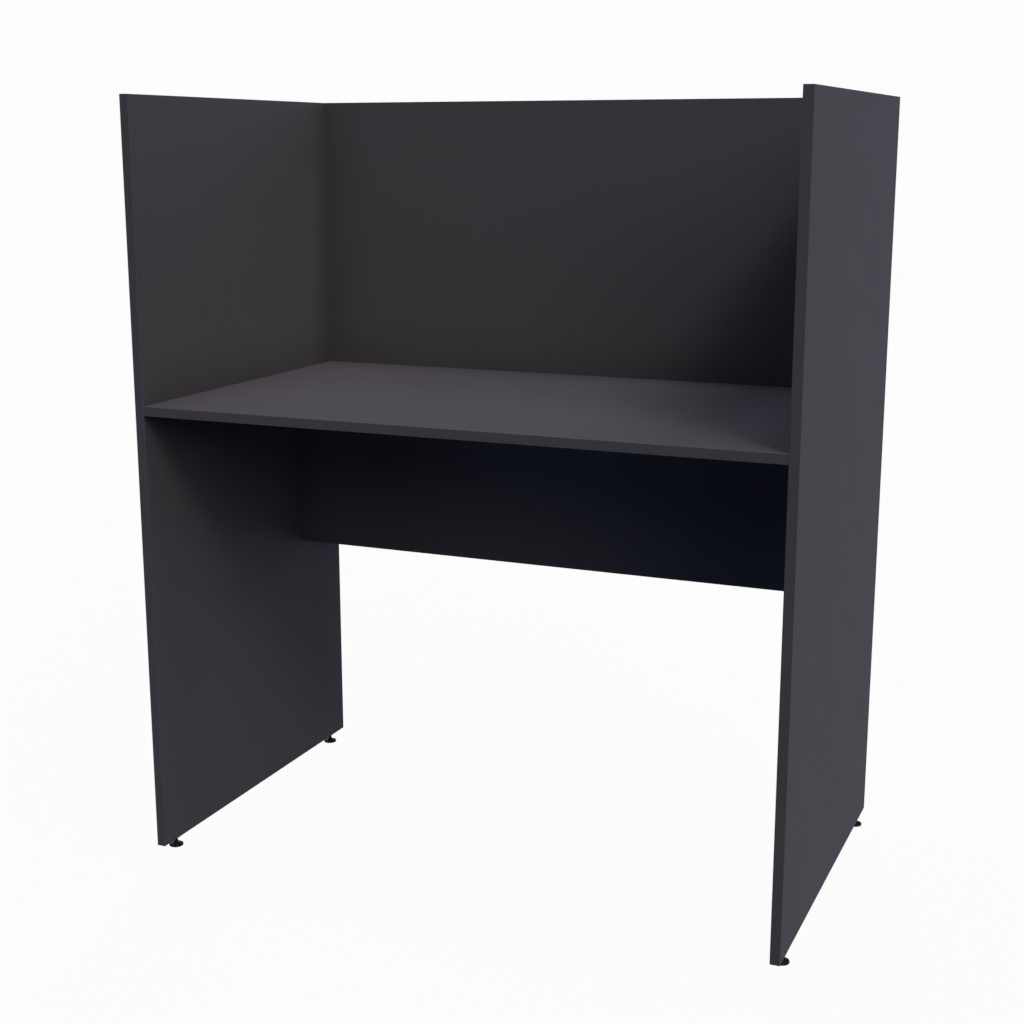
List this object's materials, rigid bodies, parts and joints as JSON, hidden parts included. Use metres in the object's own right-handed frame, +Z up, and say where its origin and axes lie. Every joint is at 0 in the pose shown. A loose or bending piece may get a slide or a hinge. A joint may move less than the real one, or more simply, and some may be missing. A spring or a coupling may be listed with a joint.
{
  "type": "study carrel",
  "caption": "Free-standing study carrel: a worktop between full-height side panels, with a back screen, a modesty panel and screw-adjusted feet.",
  "frame": {"origin": "on the floor, under the middle of the carrel's width and depth", "axes": "+X to the sitter's right, +Y from the open front to the back screen, +Z up"},
  "size_m": [1.038, 0.6008, 1.2],
  "materials": {
    "graphite_board": "matte",
    "edge_tape": "matte",
    "cap_plastic": "matte",
    "black_plastic": "satin",
    "black_steel": "satin",
    "cast_zinc": "satin",
    "zinc_plated_steel": "satin",
    "beech": "matte"
  },
  "bodies": {
    "root": {"left_side_panel": "graphite_board", "right_side_panel": "graphite_board", "worktop": "graphite_board", "back_screen": "graphite_board", "modesty_panel": "graphite_board", "left_front_edge_tape": "edge_tape", "left_rear_edge_tape": "edge_tape", "left_top_edge_tape": "edge_tape", "left_bottom_edge_tape": "edge_tape", "right_front_edge_tape": "edge_tape", "right_rear_edge_tape": "edge_tape", "right_top_edge_tape": "edge_tape", "right_bottom_edge_tape": "edge_tape", "worktop_front_edge_tape": "edge_tape", "worktop_rear_edge_tape": "edge_tape", "back_screen_top_edge_tape": "edge_tape", "modesty_panel_bottom_edge_tape": "edge_tape", "worktop_cam_locks": "cast_zinc", "worktop_cam_bolts": "zinc_plated_steel", "worktop_dowels": "beech", "worktop_cam_caps": "cap_plastic", "back_screen_cam_locks": "cast_zinc", "back_screen_cam_bolts": "zinc_plated_steel", "back_screen_dowels": "beech", "back_screen_cam_caps": "cap_plastic", "modesty_panel_cam_locks": "cast_zinc", "modesty_panel_cam_bolts": "zinc_plated_steel", "modesty_panel_dowels": "beech", "modesty_panel_cam_caps": "cap_plastic", "front_left_insert": "zinc_plated_steel", "rear_left_insert": "zinc_plated_steel", "front_right_insert": "zinc_plated_steel", "rear_right_insert": "zinc_plated_steel"},
    "front_left_foot": {"front_left_glide": "black_plastic"},
    "front_left_screw": {"front_left_stem": "black_steel"},
    "rear_left_foot": {"rear_left_glide": "black_plastic"},
    "rear_left_screw": {"rear_left_stem": "black_steel"},
    "front_right_foot": {"front_right_glide": "black_plastic"},
    "front_right_screw": {"front_right_stem": "black_steel"},
    "rear_right_foot": {"rear_right_glide": "black_plastic"},
    "rear_right_screw": {"rear_right_stem": "black_steel"}
  },
  "joints": [
    {"name": "front_left_foot_height", "type": "slide", "parent": "root", "child": "front_left_foot", "axis": [0, 0, 1], "range_m": [-0.012, 0.005]},
    {"name": "front_left_screw_turn", "type": "hinge", "parent": "front_left_foot", "child": "front_left_screw", "pos_m": [-0.5075, -0.259, 0.01], "axis": [0, 0, 1], "range_deg": [-4320, 1800]},
    {"name": "rear_left_foot_height", "type": "slide", "parent": "root", "child": "rear_left_foot", "axis": [0, 0, 1], "range_m": [-0.012, 0.005]},
    {"name": "rear_left_screw_turn", "type": "hinge", "parent": "rear_left_foot", "child": "rear_left_screw", "pos_m": [-0.5075, 0.259, 0.01], "axis": [0, 0, 1], "range_deg": [-4320, 1800]},
    {"name": "front_right_foot_height", "type": "slide", "parent": "root", "child": "front_right_foot", "axis": [0, 0, 1], "range_m": [-0.012, 0.005]},
    {"name": "front_right_screw_turn", "type": "hinge", "parent": "front_right_foot", "child": "front_right_screw", "pos_m": [0.5075, -0.259, 0.01], "axis": [0, 0, 1], "range_deg": [-4320, 1800]},
    {"name": "rear_right_foot_height", "type": "slide", "parent": "root", "child": "rear_right_foot", "axis": [0, 0, 1], "range_m": [-0.012, 0.005]},
    {"name": "rear_right_screw_turn", "type": "hinge", "parent": "rear_right_foot", "child": "rear_right_screw", "pos_m": [0.5075, 0.259, 0.01], "axis": [0, 0, 1], "range_deg": [-4320, 1800]}
  ],
  "couplings": [
    {"joint": "front_left_screw_turn", "follows": "front_left_foot_height", "rad_per_m": 6283.2},
    {"joint": "rear_left_screw_turn", "follows": "rear_left_foot_height", "rad_per_m": 6283.2},
    {"joint": "front_right_screw_turn", "follows": "front_right_foot_height", "rad_per_m": 6283.2},
    {"joint": "rear_right_screw_turn", "follows": "rear_right_foot_height", "rad_per_m": 6283.2}
  ]
}
